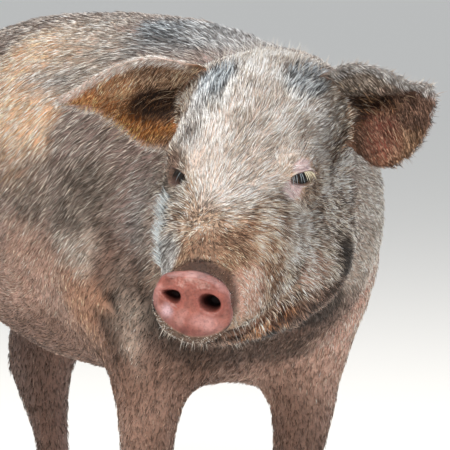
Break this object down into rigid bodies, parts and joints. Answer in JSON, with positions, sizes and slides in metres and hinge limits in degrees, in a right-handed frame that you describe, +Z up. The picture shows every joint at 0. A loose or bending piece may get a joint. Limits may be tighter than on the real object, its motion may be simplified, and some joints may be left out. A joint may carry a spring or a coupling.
{
  "type": "pig figure",
  "caption": "Life-size young pig with a mottled brown, tan and pink coat, standing and looking round, as a still museum model.",
  "frame": {"origin": "the middle of the model's box, at the floor", "axes": "+Z up, the trunk's head end towards -Y, +X towards the animal's left side"},
  "size_m": [0.3722, 1.0732, 0.5969],
  "materials": {
    "coat": "short coarse bristly hair in mottled grey-brown, tan and cream over pink skin",
    "nose": "bare moist skin, pink with fine speckles",
    "eye": "polished, dark brown",
    "horn": "dull brown-grey horn, slightly ringed"
  },
  "bodies": {
    "root": {"trunk": "coat", "neck": "coat", "head": "coat", "lower_jaw": "coat", "ear_left": "coat", "ear_right": "coat", "tail": "coat", "snout": "nose", "eye_left": "eye", "eye_right": "eye", "foreleg_left": "coat", "foreleg_left_claw_inner": "horn", "foreleg_left_dewclaw_inner": "horn", "foreleg_left_claw_outer": "horn", "foreleg_left_dewclaw_outer": "horn", "foreleg_right": "coat", "foreleg_right_claw_inner": "horn", "foreleg_right_dewclaw_inner": "horn", "foreleg_right_claw_outer": "horn", "foreleg_right_dewclaw_outer": "horn", "hindleg_left": "coat", "hindleg_left_claw_inner": "horn", "hindleg_left_dewclaw_inner": "horn", "hindleg_left_claw_outer": "horn", "hindleg_left_dewclaw_outer": "horn", "hindleg_right": "coat", "hindleg_right_claw_inner": "horn", "hindleg_right_dewclaw_inner": "horn", "hindleg_right_claw_outer": "horn", "hindleg_right_dewclaw_outer": "horn"}
  },
  "joints": []
}
